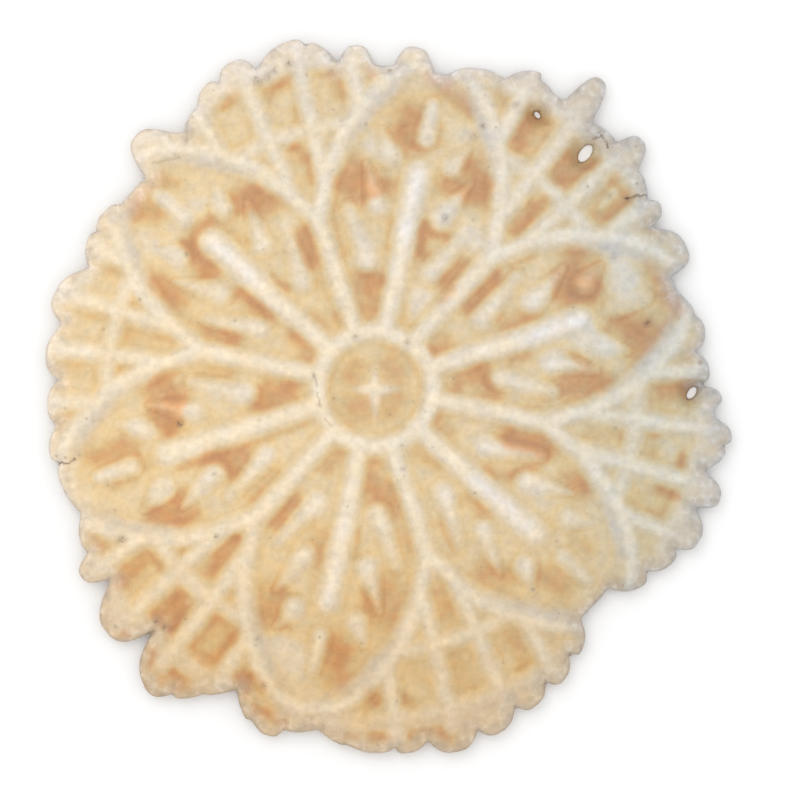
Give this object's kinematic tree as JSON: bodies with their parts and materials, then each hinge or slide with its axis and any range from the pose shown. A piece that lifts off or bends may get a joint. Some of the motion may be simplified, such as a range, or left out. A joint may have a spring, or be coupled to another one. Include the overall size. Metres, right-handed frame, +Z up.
{
  "type": "pizzelle wafer cookie",
  "caption": "Round thin waffle-iron wafer cookie with a raised petal flower and lattice on both faces and an uneven lobed edge.",
  "frame": {"origin": "middle of the whole wafer's box in X and Y, on the plane of its lowest crests", "axes": "+Z up through the thickness, out of the face that was shown; +X and +Y lie in the sheet, +Y along its longest reach; the hub of the pattern lies 3.1 mm towards -X and 1.7 mm towards +Y of the origin"},
  "size_m": [0.1274, 0.1324, 0.0044],
  "materials": {
    "batter": "matte, dry baked batter: pale cream ridges, tan fields with toasted patches"
  },
  "bodies": {
    "root": {"wafer": "batter"}
  },
  "joints": []
}
